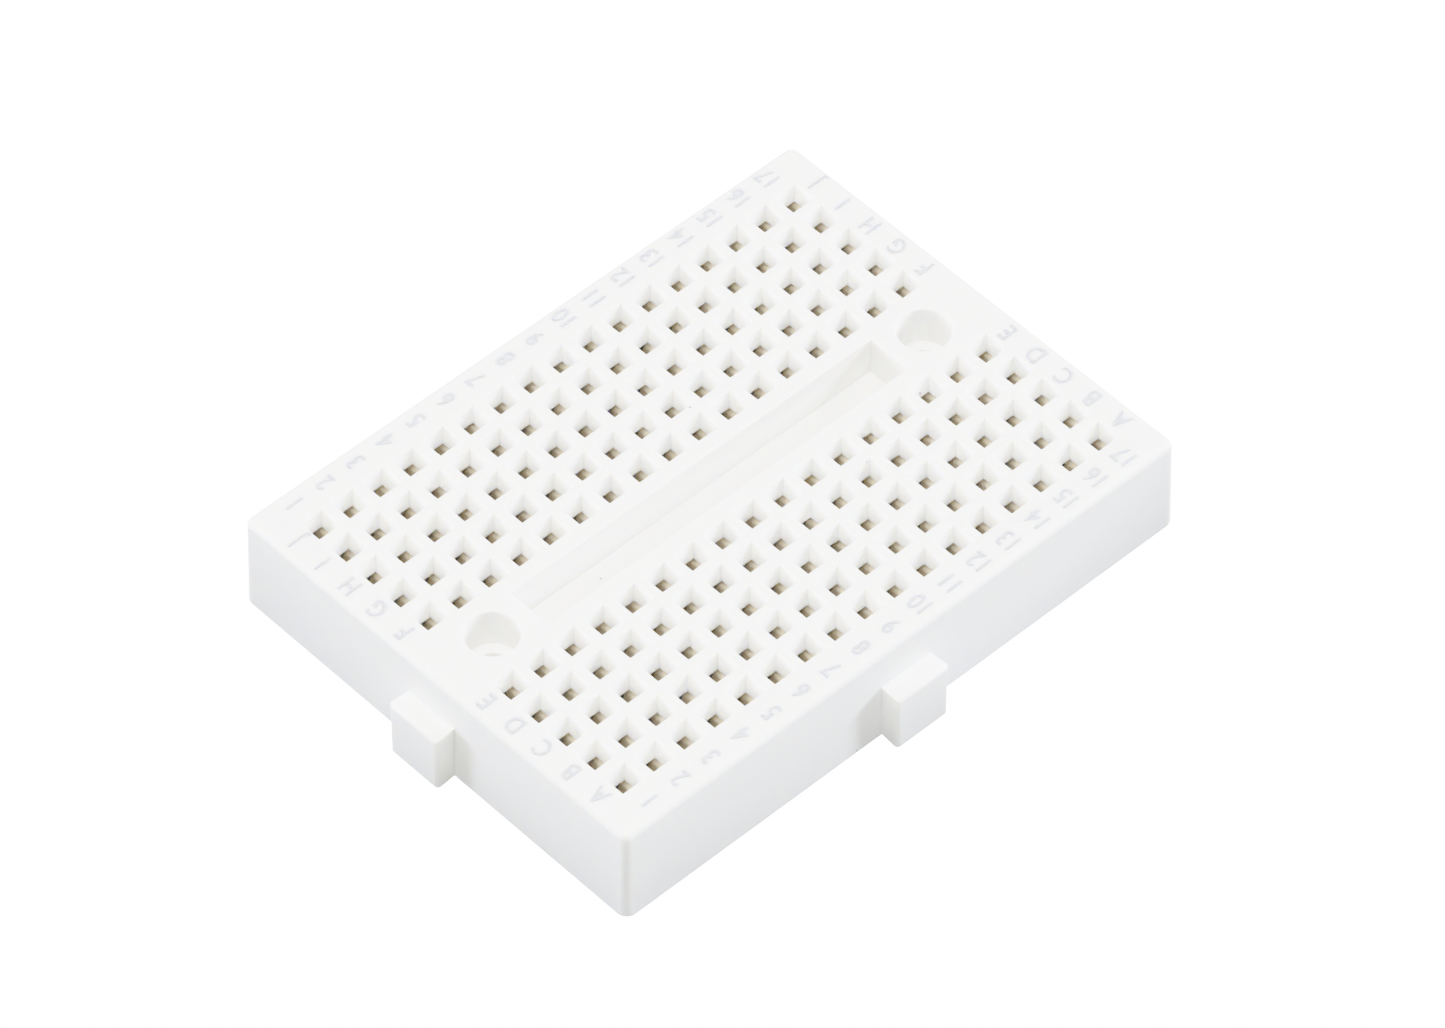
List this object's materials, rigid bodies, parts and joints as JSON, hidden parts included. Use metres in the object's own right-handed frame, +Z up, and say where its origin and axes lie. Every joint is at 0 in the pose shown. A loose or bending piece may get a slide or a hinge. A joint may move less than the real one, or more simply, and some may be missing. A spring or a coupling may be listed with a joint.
{
  "type": "solderless breadboard",
  "caption": "Small solderless breadboard: moulded housing with square funnel sockets, a centre channel, screw holes, dovetail tabs and slots, spring clips inside, foam backing.",
  "frame": {"origin": "middle of the tie-point grid, on the plane that the board rests on (the release liner's underside)", "axes": "+X along the numbered columns from 1 to 17, +Y from row A to row J, +Z up out of the tie-point face"},
  "size_m": [0.049, 0.0371, 0.0085],
  "materials": {
    "housing_plastic": "white moulded ABS, fine satin",
    "clip_metal": "nickel-plated phosphor bronze spring strip",
    "tape_foam": "white closed-cell foam, tacky",
    "liner_paper": "waxed release paper"
  },
  "bodies": {
    "board": {"housing": "housing_plastic", "foam_tape": "tape_foam", "clip_ae_01": "clip_metal", "clip_ae_02": "clip_metal", "clip_ae_03": "clip_metal", "clip_ae_04": "clip_metal", "clip_ae_05": "clip_metal", "clip_ae_06": "clip_metal", "clip_ae_07": "clip_metal", "clip_ae_08": "clip_metal", "clip_ae_09": "clip_metal", "clip_ae_10": "clip_metal", "clip_ae_11": "clip_metal", "clip_ae_12": "clip_metal", "clip_ae_13": "clip_metal", "clip_ae_14": "clip_metal", "clip_ae_15": "clip_metal", "clip_ae_16": "clip_metal", "clip_ae_17": "clip_metal", "clip_fj_01": "clip_metal", "clip_fj_02": "clip_metal", "clip_fj_03": "clip_metal", "clip_fj_04": "clip_metal", "clip_fj_05": "clip_metal", "clip_fj_06": "clip_metal", "clip_fj_07": "clip_metal", "clip_fj_08": "clip_metal", "clip_fj_09": "clip_metal", "clip_fj_10": "clip_metal", "clip_fj_11": "clip_metal", "clip_fj_12": "clip_metal", "clip_fj_13": "clip_metal", "clip_fj_14": "clip_metal", "clip_fj_15": "clip_metal", "clip_fj_16": "clip_metal", "clip_fj_17": "clip_metal"},
    "liner": {"release_liner": "liner_paper"}
  },
  "joints": [
    {"name": "liner_peel", "type": "slide", "parent": "board", "child": "liner", "axis": [-1, 0, 0], "range_m": [0, 0.044]}
  ]
}
